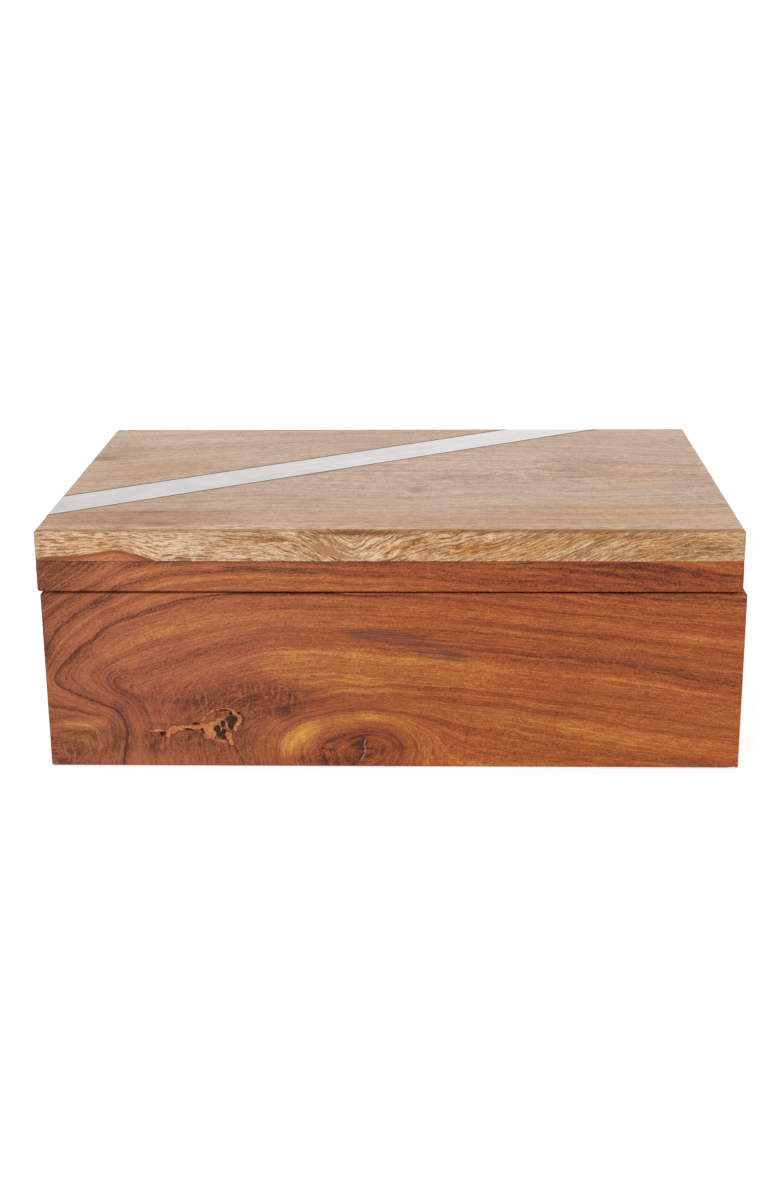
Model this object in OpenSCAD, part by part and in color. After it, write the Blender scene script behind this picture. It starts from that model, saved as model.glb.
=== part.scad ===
// Hinged wooden box: a mitred case, a framed lid, and a metal strip inlaid slantwise across the lid.
// Millimetres. X runs left to right, Y front to back, Z up.
// The origin is the middle of the case's underside.

/* [Case] */
// Outside width of the case, left to right
case_w = 305; // [260:1:340]
// Outside depth of the case, front to back
case_d = 204; // [170:1:240]
// Height of the case, underside to rim
case_h = 80.6; // [60:0.1:110]
// Thickness of the case walls and the lid rails
board_t = 12; // [11:0.5:14]
// Radius of the sanded outside edges
edge_r = 1; // [0.6:0.1:1.5]
// Thickness of the bottom panel
bottom_t = 5; // [4:0.5:8]
// How far the bottom panel reaches into the walls
rebate_d = 6; // [4:0.5:7]
// Thickness of the felt glued under the bottom panel
felt_t = 1; // [0.8:0.1:1.5]

/* [Lid] */
// Outside width of the lid
lid_w = 304; // [260:1:340]
// How far the lid sits to one side of the case; a minus sign is to the left
lid_shift = -1.5; // [-2:0.1:2]
// Height of the lid's rails
rail_h = 13.8; // [12:0.1:20]
// Thickness of the lid's top panel
panel_t = 14; // [10:0.5:18]
// Radius of the top panel's upper edges
panel_r = 1.6; // [1:0.1:2.5]
// Open seam between the case rim and the lid rails
seam = 0.7; // [0.6:0.1:1]
// Angle at which the lid comes to its stop
lid_open = 95; // [90:1:100]

/* [Inlay] */
// Width of the metal strip
inlay_w = 26; // [15:0.5:35]
// Thickness of the metal strip
inlay_t = 3; // [2:0.5:5]
// Angle between the strip and the front of the lid, in degrees
inlay_angle = 34.8; // [25:0.1:45]
// Distance from the lid's middle to the strip's centre line, towards the back left
inlay_offset = 36.4; // [0:0.1:50]
// Width of the dark filler line on each side of the strip
filler_w = 0.6; // [0.3:0.1:1]
// Thickness of the filler bed under the strip
filler_bed = 0.4; // [0.2:0.1:0.8]

/* [Hinges] */
// Length of each hinge
hinge_l = 38; // [30:1:50]
// Distance between the middles of the two hinges
hinge_spacing = 186; // [120:1:220]
// How far the hinge axis lies in front of the back face
hinge_set = 3; // [2.8:0.1:3.5]
// Outside radius of the knuckles
knuckle_r = 2; // [1.8:0.1:2.2]
// Radius of the hinge pins
pin_r = 1; // [0.8:0.05:1.1]
// Reach of a leaf from the hinge axis
leaf_reach = 7.5; // [7:0.1:8]
// Thickness of a leaf
leaf_t = 1.2; // [1:0.1:1.5]
// Screws in each leaf
screws_per_leaf = 3; // [2:1:4]
// Length of the hinge screws
screw_l = 9; // [7:0.5:10]

/* [Corner splines] */
// Thickness of the splines across the mitres
spline_t = 2.5; // [2:0.1:3]
// Width of the splines, half of it in each board
spline_w = 7; // [5:0.5:8]

/* [Hidden] */

$fn = 48;
eps = 0.01;
big = 2 * case_w;

// Heights of the lid's layers
rail_z = case_h + seam;
panel_z = rail_z + rail_h;
lid_top = panel_z + panel_t;

// The hinge axis lies in the middle of the seam
axis_y = case_d / 2 - hinge_set;
axis_z = case_h + seam / 2;

// Behind the axis both back edges are bevelled by half of the lid's swing, so they meet as its stop
bevel_drop = hinge_set * tan(lid_open / 2);

// Corner splines stop short of the faces that show
spline_inset = 0.42 * board_t;
spline_stop = 6;
spline_foot = 3;

// Hinge barrel: the case leaf holds the odd knuckles, the lid leaf the even ones
knuckles = 5;
knuckle_gap = 0.15;
knuckle_l = (hinge_l - (knuckles - 1) * knuckle_gap) / knuckles;
pin_clearance = 0.04;
pin_proud = 0.2;
leaf_gap = 0.2;
barrel_clearance = 0.3;

// Countersunk screws
screw_r = 0.9;
screw_head_r = 1.8;
screw_head_h = 0.9;
screw_tip_h = 2;
screw_point_r = 0.15;
screw_set = 5.1;
screw_end = 5;
recess_w = 0.36;
recess_depth = 0.5;

wood_red = "sienna";
wood_pale = "burlywood";
brass = "goldenrod";

// ---- Plain shapes ----

// The waste outside a round corner at the origin, for a shape that fills the +X +Y quarter
module corner_waste(r) {
    difference() {
        translate([-eps, -eps]) square(r + eps);
        translate([r, r]) circle(r);
    }
}

// A rectangle centred on X, standing on Y = 0, with its lower and upper corner radii given
module rounded_section(w, h, lower_r, upper_r) {
    difference() {
        translate([-w / 2, 0]) square([w, h]);
        for (side = [0, 1]) mirror([side, 0]) {
            if (lower_r > 0) translate([-w / 2, 0]) corner_waste(lower_r);
            if (upper_r > 0) translate([-w / 2, h]) mirror([0, 1]) corner_waste(upper_r);
        }
    }
}

// A block w by d by h, standing on Z = 0, with round upright corners and round lower and upper edges
module softened_block(w, d, h, lower_r, upper_r, upright_r = edge_r) {
    intersection() {
        linear_extrude(h) translate([0, -d / 2]) rounded_section(w, d, upright_r, upright_r);
        rotate([90, 0, 0]) linear_extrude(big, center = true) rounded_section(w, h, lower_r, upper_r);
        rotate([90, 0, 90]) linear_extrude(big, center = true) rounded_section(d, h, lower_r, upper_r);
    }
}

// The quarter of a frame w by d that a mitred front board takes up
module mitre_prism(w, d) {
    apex = min(w, d) / 2;
    translate([0, 0, -big / 2]) linear_extrude(big)
        polygon([
            [-w / 2, -d / 2], [w / 2, -d / 2],
            [w / 2 - apex, -d / 2 + apex], [-w / 2 + apex, -d / 2 + apex],
        ]);
}

// ---- Case ----

// The room of one side of a mitred frame w wide: 0 front, 1 right, 2 back, 3 left
module mitred_side(side, w) {
    turned = side % 2 == 1;
    rotate(90 * side) mitre_prism(turned ? case_d : w, turned ? w : case_d);
}

// The case as one hollow ring, before it is parted at the mitres
module case_ring() {
    difference() {
        softened_block(case_w, case_d, case_h, edge_r, edge_r);
        translate([0, 0, case_h / 2])
            cube([case_w - 2 * board_t, case_d - 2 * board_t, big], center = true);
        translate([0, 0, (bottom_t + felt_t) / 2 - eps / 2])
            cube([case_w - 2 * rebate_d, case_d - 2 * rebate_d, bottom_t + felt_t + eps], center = true);
        case_splines();
        back_bevel();
    }
}

module case_splines() {
    corner_splines(case_w, case_d, bottom_t + felt_t + spline_foot, case_h - spline_stop);
}

module case_wall(side) {
    intersection() {
        case_ring();
        mitred_side(side, case_w);
    }
}

// Splines across the four mitres of a frame w by d, from z0 to z1
module corner_splines(w, d, z0, z1) {
    for (sx = [0, 1], sy = [0, 1]) mirror([sx, 0, 0]) mirror([0, sy, 0])
        translate([w / 2 - board_t + spline_inset, d / 2 - board_t + spline_inset, (z0 + z1) / 2])
            rotate(45) cube([spline_t, spline_w, z1 - z0], center = true);
}

// The bevel behind the hinge axis, over the case's whole width
module back_bevel() {
    translate([-big / 2, 0, 0]) rotate([90, 0, 90]) linear_extrude(big)
        polygon([
            [axis_y, case_h], [axis_y + hinge_set + 1, case_h - bevel_drop * (hinge_set + 1) / hinge_set],
            [axis_y + hinge_set + 1, case_h + seam / 2], [axis_y, case_h + seam / 2]
        ]);
}

// Mirrors a shape made for the case side of the seam onto the lid side
module on_lid_side() {
    translate([0, 0, 2 * axis_z]) mirror([0, 0, 1]) children();
}

module at_hinges() {
    for (side = [-1, 1]) translate([side * hinge_spacing / 2, 0, 0]) children();
}

// What one hinge takes out of the board under it: the leaf's mortise, the barrel's trough
// and the pilot holes
module hinge_waste() {
    translate([-hinge_l / 2, axis_y - leaf_reach, case_h - leaf_t])
        cube([hinge_l, leaf_reach, leaf_t + 1]);
    translate([-hinge_l / 2 - barrel_clearance, axis_y, axis_z])
        rod(knuckle_r + barrel_clearance, hinge_l + 2 * barrel_clearance);
    leaf_screws();
}

module front_wall() { color(wood_red) case_wall(0); }
module right_wall() { color(wood_red) case_wall(1); }
module left_wall() { color(wood_red) case_wall(3); }
module back_wall() {
    color(wood_red) difference() {
        case_wall(2);
        at_hinges() hinge_waste();
    }
}

module bottom_panel() {
    color(wood_pale) translate([0, 0, felt_t + bottom_t / 2])
        cube([case_w - 2 * rebate_d, case_d - 2 * rebate_d, bottom_t], center = true);
}

module base_felt() {
    color("darkslategray") translate([0, 0, felt_t / 2])
        cube([case_w - 2 * rebate_d, case_d - 2 * rebate_d, felt_t], center = true);
}

module case_corner_splines() { color(wood_pale) case_splines(); }

// ---- Lid ----

// The four rails as one ring, before it is parted at the mitres
module lid_ring() {
    difference() {
        translate([lid_shift, 0, rail_z]) softened_block(lid_w, case_d, rail_h, edge_r, 0);
        translate([lid_shift, 0, 0]) cube([lid_w - 2 * board_t, case_d - 2 * board_t, big], center = true);
        lid_splines();
        on_lid_side() back_bevel();
    }
}

module lid_splines() {
    translate([lid_shift, 0, 0]) corner_splines(lid_w, case_d, rail_z + spline_foot, panel_z);
}

module lid_rail(side) {
    intersection() {
        lid_ring();
        translate([lid_shift, 0, 0]) mitred_side(side, lid_w);
    }
}

module lid_front_rail() { color(wood_red) lid_rail(0); }
module lid_right_rail() { color(wood_red) lid_rail(1); }
module lid_left_rail() { color(wood_red) lid_rail(3); }
module lid_back_rail() {
    color(wood_red) difference() {
        lid_rail(2);
        on_lid_side() at_hinges() hinge_waste();
    }
}

module lid_corner_splines() { color(wood_pale) lid_splines(); }

module panel_blank() {
    translate([lid_shift, 0, panel_z]) softened_block(lid_w, case_d, panel_t, 0, panel_r);
}

// A slanting band w wide across the lid, from z0 up
module slant_band(w, z0) {
    translate([lid_shift, 0, z0]) rotate(inlay_angle) translate([-big / 2, inlay_offset - w / 2, 0])
        cube([big, w, panel_t]);
}

module lid_panel() {
    color(wood_pale) difference() {
        panel_blank();
        slant_band(inlay_w + 2 * filler_w, lid_top - inlay_t - filler_bed);
    }
}

module inlay_strip() {
    color("silver") intersection() {
        panel_blank();
        slant_band(inlay_w, lid_top - inlay_t);
    }
}

module inlay_filler() {
    color("saddlebrown") difference() {
        intersection() {
            panel_blank();
            slant_band(inlay_w + 2 * filler_w, lid_top - inlay_t - filler_bed);
        }
        slant_band(inlay_w, lid_top - inlay_t);
    }
}

// ---- Hinges ----

// Puts a shape that starts at X = 0 on the hinge axis where knuckle number i starts
module at_knuckle(i) {
    translate([-hinge_l / 2 + i * (knuckle_l + knuckle_gap), axis_y, axis_z]) children();
}

module rod(r, l) { rotate([0, 90, 0]) cylinder(r = r, h = l); }

// A hinge leaf as it lies in the case rim, with every second knuckle from number first
module hinge_leaf(first, bore_r) {
    own_knuckles = [first : 2 : knuckles - 1];
    plate_l = leaf_reach - knuckle_r - leaf_gap;
    color(brass) difference() {
        union() {
            translate([-hinge_l / 2, axis_y - leaf_reach, case_h - leaf_t])
                cube([hinge_l, plate_l, leaf_t]);
            for (i = own_knuckles) at_knuckle(i) {
                rod(knuckle_r, knuckle_l);
                translate([0, -knuckle_r - 1, -seam / 2 - leaf_t])
                    cube([knuckle_l, knuckle_r + 1, leaf_t]);
            }
        }
        for (i = own_knuckles) at_knuckle(i) translate([-eps, 0, 0]) rod(bore_r, knuckle_l + 2 * eps);
        leaf_screws();
    }
}

module hinge_pin() {
    color(brass)
        translate([-hinge_l / 2 - pin_proud, axis_y, axis_z])
            rod(pin_r, hinge_l + 2 * pin_proud);
}

module left_side() { translate([-hinge_spacing / 2, 0, 0]) children(); }
module right_side() { translate([hinge_spacing / 2, 0, 0]) children(); }

module left_hinge_case_leaf() { left_side() hinge_leaf(0, pin_r); }
module right_hinge_case_leaf() { right_side() hinge_leaf(0, pin_r); }
module left_hinge_lid_leaf() { left_side() on_lid_side() hinge_leaf(1, pin_r + pin_clearance); }
module right_hinge_lid_leaf() { right_side() on_lid_side() hinge_leaf(1, pin_r + pin_clearance); }
module left_hinge_pin() { left_side() hinge_pin(); }
module right_hinge_pin() { right_side() hinge_pin(); }

// ---- Screws ----

// One countersunk screw, pointing down, its head flush with the rim
module screw() {
    translate([0, 0, case_h - screw_head_h])
        cylinder(r1 = screw_r, r2 = screw_head_r, h = screw_head_h);
    translate([0, 0, case_h - screw_l + screw_tip_h])
        cylinder(r = screw_r, h = screw_l - screw_tip_h - screw_head_h);
    translate([0, 0, case_h - screw_l]) cylinder(r1 = screw_point_r, r2 = screw_r, h = screw_tip_h);
}

// The cross recess in a screw's head
module cross_recess() {
    for (turn = [0, 90]) translate([0, 0, case_h]) rotate(turn)
        cube([screw_head_r, recess_w, 2 * recess_depth], center = true);
}

// A shape at each screw's place in one leaf
module at_leaf_screws() {
    pitch = (hinge_l - 2 * screw_end) / (screws_per_leaf - 1);
    for (i = [0 : screws_per_leaf - 1])
        translate([-hinge_l / 2 + screw_end + i * pitch, axis_y - screw_set, 0]) children();
}

module leaf_screws() { at_leaf_screws() screw(); }

module recessed_screws() {
    color(brass) at_hinges() at_leaf_screws() difference() {
        screw();
        cross_recess();
    }
}

module case_leaf_screws() { recessed_screws(); }
module lid_leaf_screws() { on_lid_side() recessed_screws(); }

front_wall();
back_wall();
left_wall();
right_wall();
bottom_panel();
base_felt();
case_corner_splines();
lid_front_rail();
lid_back_rail();
lid_left_rail();
lid_right_rail();
lid_corner_splines();
lid_panel();
inlay_strip();
inlay_filler();
left_hinge_case_leaf();
left_hinge_lid_leaf();
left_hinge_pin();
right_hinge_case_leaf();
right_hinge_lid_leaf();
right_hinge_pin();
case_leaf_screws();
lid_leaf_screws();
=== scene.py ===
"""The looks of the inlaid wooden box: figured boards, a brushed metal strip, brass hinges and a felt base."""

import math

import bmesh
import bpy
import numpy as np
from mathutils import Matrix, Vector, noise


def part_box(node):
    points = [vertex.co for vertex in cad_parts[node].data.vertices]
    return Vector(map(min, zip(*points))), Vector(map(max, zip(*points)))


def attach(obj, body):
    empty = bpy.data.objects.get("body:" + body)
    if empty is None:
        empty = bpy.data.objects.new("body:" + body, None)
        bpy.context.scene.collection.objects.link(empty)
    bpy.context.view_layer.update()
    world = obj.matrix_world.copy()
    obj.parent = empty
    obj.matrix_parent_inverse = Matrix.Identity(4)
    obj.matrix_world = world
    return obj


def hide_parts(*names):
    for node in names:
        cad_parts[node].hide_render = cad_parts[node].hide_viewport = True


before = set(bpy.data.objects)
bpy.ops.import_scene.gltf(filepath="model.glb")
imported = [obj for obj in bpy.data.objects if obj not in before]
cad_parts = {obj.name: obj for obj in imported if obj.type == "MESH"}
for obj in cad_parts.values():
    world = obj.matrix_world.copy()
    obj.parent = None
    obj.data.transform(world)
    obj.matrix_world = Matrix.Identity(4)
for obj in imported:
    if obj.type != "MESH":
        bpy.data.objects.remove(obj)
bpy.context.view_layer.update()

MM = 0.001
SHARP_ANGLE = math.radians(32)


def mm_box(node):
    """A CAD node's lowest and highest corners, in millimetres."""
    low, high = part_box(node)
    return np.array(low) / MM, np.array(high) / MM


CASE_LOW, CASE_HIGH = mm_box("front_wall")
LID_LOW, LID_HIGH = mm_box("lid_panel")
FRONT_Y = CASE_LOW[1]
BACK_Y = -FRONT_Y
LID_TOP = LID_HIGH[2]
PANEL_Z = LID_LOW[2]
LID_MIDDLE_X = (LID_LOW[0] + LID_HIGH[0]) / 2

# ---- Growth figure of the boards ----
# Each board's growth lines are drawn on its face, in millimetres: (along the board, height).
# The key is the line's place across the growth rings. Where a ring is drawn in two stretches, they share it.

FRONT_RINGS = [
    (86, [(-150, 76), (-146, 80), (-143, 82.5), (-133, 88), (-128, 92), (-124, 96)]),
    (86, [(-152, 14), (-142, 16), (-134, 14), (-133, 7), (-136, 1)]),
    (80, [(60, 94), (80, 93), (100, 92), (125, 89), (150, 86)]),
    (80, [(-152, 23), (-140, 22), (-131, 19.5), (-128, 12), (-130, 4)]),
    (79, [(-152, 67), (-149, 70), (-144, 74.5), (-139, 77), (-131, 82), (-122, 87), (-115, 91),
          (-105, 94)]),
    (74, [(-152, 52), (-147, 61.5), (-142, 66.5), (-137, 70), (-130, 75), (-124, 77.5), (-118, 83),
          (-106, 86.5), (-96, 89), (-86, 90), (-70, 91), (-50, 91), (-30, 90.5), (0, 89), (40, 86),
          (75, 84)]),
    (74, [(-152, 29), (-140, 26.5), (-130, 23.5), (-124.5, 18), (-124, 10), (-126, 3)]),
    (69, [(-151, 45), (-146, 53), (-140, 60), (-133, 66), (-125, 71.5), (-115, 76), (-104, 80.5), (-97, 83),
          (-85, 84.5), (-72, 86), (-55, 86.3), (-40, 85.5), (-20, 84.5), (0, 84.5), (20, 83), (50, 79),
          (90, 74.5), (110, 72), (130, 70.5), (152, 69)]),
    (69, [(-151, 36), (-145, 32.5), (-135, 28), (-127, 25), (-122, 21.5), (-120.5, 15), (-121.5, 8),
          (-123, 2)]),
    (64, [(-60, 80.5), (-80, 79), (-90, 77.5), (-100, 74.5), (-110, 71), (-118, 68.5), (-123, 66.5),
          (-128, 62.5), (-131, 59), (-136, 57), (-139, 53), (-143, 49), (-147, 45), (-148.5, 41),
          (-146.5, 38), (-141, 35), (-136, 32.7), (-130, 30.3), (-124, 28), (-120.5, 25), (-118.5, 21),
          (-117.5, 16), (-118.5, 10), (-120, 3)]),
    (64, [(-30, 81), (10, 79.5), (30, 77.5), (50, 75), (65, 73), (90, 71), (105, 69), (130, 66.5),
          (152, 64)]),
    (53, [(-115.5, 25), (-116, 28), (-120, 31.5), (-127, 35), (-131, 39), (-133, 44), (-128, 49),
          (-115, 57), (-100, 62.5), (-80, 67), (-60, 69.5), (-30, 70), (0, 69.5), (30, 68), (50, 66),
          (75, 63), (100, 60.5), (120, 57.5), (152, 53)]),
    (47.5, [(100, 54.5), (120, 51.5), (135, 49.5), (152, 47.5)]),
    (41, [(-106, 6), (-107, 16), (-109.5, 27), (-111, 30), (-114, 33), (-120, 36), (-122, 39), (-119, 41.5),
          (-110, 43), (-100, 46.5), (-90, 50), (-80, 54), (-70, 57), (-60, 60), (-50, 61.3), (-30, 61.2),
          (-10, 60.8), (10, 59), (30, 57.5), (50, 56), (75, 53.5), (100, 50), (122, 46), (152, 41)]),
    (31, [(-94, 2), (-95, 10), (-98, 24), (-97, 31), (-90, 38), (-80, 43.5), (-70, 46), (-60, 49.5),
          (-45, 51), (-20, 50), (0, 47.5), (30, 45.5), (50, 43), (75, 40), (100, 37.5), (125, 34),
          (152, 30)]),
    (20, [(-79, 0), (-80, 8), (-81, 18), (-78, 26), (-70, 33), (-50, 38), (-25, 40.5), (0, 39.5),
          (30, 37.5), (60, 33), (90, 29.5), (120, 25.5), (152, 20.5)]),
    (13, [(-66, 1), (-68, 8), (-66, 16), (-58, 23), (-48, 28), (-40, 30), (-30, 31.3), (-10, 33), (10, 33),
          (30, 31), (50, 29.5), (65, 27), (80, 25), (95, 22.5), (110, 19), (130, 16.5), (152, 13)]),
    (0, [(-52, 3), (-52.5, 9), (-51, 15), (-46, 20), (-38, 23.5), (-25, 26.5), (-10, 27.5), (5, 26),
          (20, 22.5), (40, 16.5), (60, 11), (75, 8.5), (100, 6), (125, 3), (152, 0)]),
    (-10, [(-44, 3), (-44, 9), (-40, 14), (-30, 19), (-20, 21), (-5, 20.5), (6, 16), (10, 9), (9, 2)]),
    (-17, [(-30, 4), (-31, 10), (-20, 15), (-10, 17), (-2, 16), (3, 12), (4, 8), (3, 4)]),
    (-26, [(-13, 8)]),
]

# The front edge of the lid's board, where the rings run out slantwise
EDGE_RINGS = [
    (2, [(-22, 108), (-16, 105), (-10, 108)]),
    (6, [(-30, 108), (-22, 103), (-17, 100.5), (-10, 104), (-4, 107)]),
    (10, [(-100, 108.5), (-75, 107.5), (-55, 107), (-42, 107.5), (-33, 104), (-26, 100), (-18, 96),
          (-14, 96.5), (-6, 102), (2, 106), (12, 108.5)]),
    (14, [(-152, 107), (-120, 107), (-100, 105.5), (-75, 104.5), (-60, 104), (-50, 104.5), (-42, 103.5),
          (-34, 99.5), (-28, 96)]),
    (14, [(0, 96), (10, 100), (20, 104), (32, 107), (42, 109)]),
    (18, [(-152, 104), (-120, 104), (-90, 102.5), (-70, 101), (-60, 101), (-48, 100), (-41, 97.5),
          (-37, 95.5)]),
    (18, [(14, 96), (28, 99), (42, 103), (52, 106), (60, 109)]),
    (22, [(-152, 99.6), (-132, 100.8), (-119, 102.4), (-106, 99.5), (-85, 97.5), (-60, 97), (-50, 96)]),
    (22, [(30, 96), (45, 99.5), (55, 103.5), (66, 108)]),
    (25, [(-152, 96.2), (-143, 97.2), (-136, 97.4), (-128, 98.7), (-121, 100), (-115, 99.6), (-110, 98),
          (-105, 96), (-101, 94.5)]),
    (27, [(45, 96), (58, 100), (70, 105), (78, 109)]),
    (32, [(58, 97), (70, 102), (80, 107)]),
    (37, [(71, 96.5), (80, 101), (88, 104), (100, 108)]),
    (43, [(84, 96.5), (92, 101), (104, 106.5), (115, 109)]),
    (50, [(97, 96.5), (110, 100.8), (124, 105), (138, 107), (152, 106.6)]),
    (56, [(110, 96), (122, 99.2), (138, 101.8), (152, 101.6)]),
    (62, [(127, 96), (140, 97.6), (152, 97.6)]),
]

# The top of the lid's board, seen from above: (x, y)
TOP_RINGS = [
    (0, [(-152, -102), (-90, -103), (-37, -104), (0, -102), (60, -102), (150, -101)]),
    (7, [(-152, -97), (-95, -96), (-88, -95), (-60, -94), (-45, -96), (-37, -100), (-30, -96), (0, -95),
          (60, -96), (100, -95), (150, -92)]),
    (20, [(-150, -84), (-100, -82), (-50, -80), (0, -83), (60, -84), (100, -84), (150, -82)]),
    (43, [(-130, -62), (-80, -60), (-40, -58), (0, -62), (50, -58), (90, -61), (150, -54)]),
    (70, [(-60, -30), (-30, -34), (0, -38), (12, -42), (30, -36), (60, -36), (80, -40), (110, -36),
          (150, -30)]),
    (92, [(-120, -22), (-60, -8), (0, -10), (40, -10), (62, -10), (84, -14), (104, -9), (125, -8),
          (150, -6)]),
    (108, [(-150, -8), (-110, 6), (-60, 20), (0, 30), (40, 30), (60, 30), (84, 34), (104, 28), (150, 18)]),
    (132, [(-150, 18), (-120, 28), (-80, 42), (-40, 54), (40, 58), (80, 54), (150, 42)]),
    (160, [(-150, 48), (-110, 58), (-80, 66), (-40, 76), (20, 82), (80, 76), (150, 66)]),
    (180, [(-150, 68), (-120, 75), (-90, 82), (-60, 90), (-20, 95), (60, 93), (150, 86)]),
    (197, [(-150, 88), (-100, 98), (-40, 104), (60, 106), (150, 102)]),
]

# The other walls, which show only from the sides and behind: a plain cathedral, straight grain and a swirl
RIGHT_RINGS = [
    (10, [(-60, 2), (-20, 11), (20, 12), (60, 3)]),
    (24, [(-102, 6), (-60, 17), (-10, 27), (30, 26), (70, 14), (102, 5)]),
    (40, [(-102, 25), (-50, 36), (0, 45), (50, 41), (102, 24)]),
    (56, [(-102, 44), (-50, 53), (5, 61), (55, 57), (102, 44)]),
    (72, [(-102, 63), (-50, 70), (0, 76), (50, 73), (102, 64)]),
    (88, [(-102, 83), (0, 92), (102, 84)]),
]
LEFT_RINGS = [
    (12, [(-102, 12), (-50, 9), (0, 12), (60, 15), (102, 12)]),
    (28, [(-102, 28), (-55, 22), (0, 27), (50, 33), (102, 30)]),
    (46, [(-102, 45), (-60, 38), (0, 44), (45, 52), (102, 50)]),
    (64, [(-102, 62), (-60, 56), (0, 61), (45, 68), (102, 69)]),
    (84, [(-102, 82), (-50, 79), (0, 83), (50, 87), (102, 88)]),
]
BACK_RINGS = [
    (-8, [(38, 22)]),
    (4, [(20, 14), (28, 27), (42, 31), (54, 24), (56, 14)]),
    (14, [(-40, 4), (-10, 14), (14, 27), (32, 38), (50, 38), (66, 27), (90, 14), (140, 4)]),
    (28, [(-152, 8), (-100, 16), (-50, 24), (0, 36), (30, 47), (60, 45), (100, 30), (152, 20)]),
    (44, [(-152, 28), (-90, 38), (-40, 46), (10, 55), (50, 58), (100, 47), (152, 38)]),
    (60, [(-152, 48), (-90, 58), (0, 68), (50, 71), (100, 64), (152, 56)]),
    (78, [(-152, 70), (-60, 80), (40, 86), (152, 76)]),
]


def growth_field(rings, squeeze, slack=0.02):
    """A smooth function of (along, across) whose level lines follow the rings: a thin-plate spline.
    squeeze makes it stiffer along the board; slack lets it miss the points a little."""
    points = np.array([(s * squeeze, t) for _, line in rings for s, t in line], float)
    levels = np.array([level for level, line in rings for _ in line], float)
    count = len(points)

    def plate(a, b):
        r2 = ((a[:, None] - b[None]) ** 2).sum(2)
        return 0.5 * r2 * np.log(np.maximum(r2, 1e-12))

    plane = np.hstack([np.ones((count, 1)), points])
    system = np.zeros((count + 3, count + 3))
    system[:count, :count] = plate(points, points) + slack * count * np.eye(count)
    system[:count, count:] = plane
    system[count:, :count] = plane.T
    weights = np.linalg.solve(system, np.concatenate([levels, np.zeros(3)]))

    def field(s, t):
        p = np.stack([s * squeeze, t], 1)
        return plate(p, points) @ weights[:count] + weights[count] + p @ weights[count + 1:]

    return field


def smooth(low, high, x):
    """0 at low, 1 at high, with a soft start and end."""
    t = np.clip((x - low) / (high - low), 0, 1)
    return t * t * (3 - 2 * t)


front_field = growth_field(FRONT_RINGS, 0.7)
edge_field = growth_field(EDGE_RINGS, 1.0)
top_field = growth_field(TOP_RINGS, 0.6)
right_field = growth_field(RIGHT_RINGS, 0.6)
left_field = growth_field(LEFT_RINGS, 0.6)
back_field = growth_field(BACK_RINGS, 0.7)


# A grain function gives, for points in millimetres, (place across the rings, along the board, up the board).
# The rings lean as they go through a board's thickness. The shift keeps the boards' noises apart.
BOARD_SHIFT = 700


def front_grain(p):
    depth = p[:, 1] - FRONT_Y
    return np.stack([front_field(p[:, 0], p[:, 2]) + 0.35 * depth, p[:, 0], p[:, 2]], 1)


def back_grain(p):
    depth = BACK_Y - p[:, 1]
    return np.stack([back_field(-p[:, 0], p[:, 2]) + 0.4 * depth, p[:, 0] + BOARD_SHIFT, p[:, 2]], 1)


def right_grain(p):
    depth = CASE_HIGH[0] - p[:, 0]
    return np.stack([right_field(p[:, 1], p[:, 2]) + 0.3 * depth, p[:, 1] + 2 * BOARD_SHIFT, p[:, 2]], 1)


def left_grain(p):
    depth = p[:, 0] - CASE_LOW[0]
    return np.stack([left_field(p[:, 1], p[:, 2]) + 0.4 * depth, p[:, 1] + 3 * BOARD_SHIFT, p[:, 2]], 1)


def edge_share(y):
    """1 on the front edge of the lid's board, 0 behind its rounded arris."""
    return smooth(FRONT_Y + 2.4, FRONT_Y + 0.5, y)


def panel_grain(p):
    x, y, z = p.T
    below = LID_TOP - z
    lean = 0.9 * np.tanh((y + 20) / 60)
    across = top_field(x, y) + lean * below
    on_edge = edge_share(y)
    return np.stack([across * (1 - on_edge) + edge_field(x, z) * on_edge, x, y - FRONT_Y - below], 1)


# The sapwood ends at these rings, on the top and left of the red wedge's end on the front edge
TOP_SAP_RING = 7.5
EDGE_SAP_RING = 25
RED_WEDGE_END_X = -60
ALL_SAP = 12.0


def panel_sapwood(p):
    """How far a point of the lid's board is inside the pale sapwood, in millimetres."""
    x, y, z = p.T
    on_top = TOP_SAP_RING - top_field(x, y) + 0.6 * (LID_TOP - z)
    on_edge = np.where(x < RED_WEDGE_END_X, EDGE_SAP_RING - edge_field(x, z), ALL_SAP)
    weight = edge_share(y)
    return on_top * (1 - weight) + on_edge * weight


# ---- Bark inclusion and other marks on the front wall ----
# Ellipses on the front face: (x, z, half width, half height, turn in degrees)

FILLER_BLOBS = [
    (-104.0, 17.1, 3.8, 0.6, 4), (-97.4, 17.2, 3.1, 1.6, 25), (-99.6, 15.2, 1.1, 1.7, -25),
    (-93.0, 18.3, 3.0, 1.1, 8), (-88.0, 18.7, 4.2, 0.9, 2), (-84.0, 19.2, 2.8, 1.2, 5),
    (-81.7, 16.3, 2.3, 3.2, -12), (-79.3, 19.6, 2.2, 1.7, 0), (-83.6, 22.6, 0.5, 1.6, -25),
    (-80.6, 25.6, 2.6, 0.45, 32), (-74.8, 27.1, 3.6, 0.45, 3), (-69.6, 25.4, 2.3, 0.8, -48),
    (-67.6, 22.8, 0.8, 2.1, 10), (-68.3, 20.6, 0.8, 1.8, -6), (-69.4, 18.6, 0.9, 1.8, -20),
    (-73.3, 19.6, 0.5, 2.6, 15), (-76.6, 22.0, 1.8, 0.8, 15), (-76.2, 18.6, 0.6, 2.2, 10),
    (-79.3, 15.0, 0.8, 2.6, -20), (-76.0, 12.1, 2.9, 0.5, -8), (-72.6, 14.4, 1.5, 2.0, 10),
    (-71.8, 11.6, 0.9, 1.6, 20),
]
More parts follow.
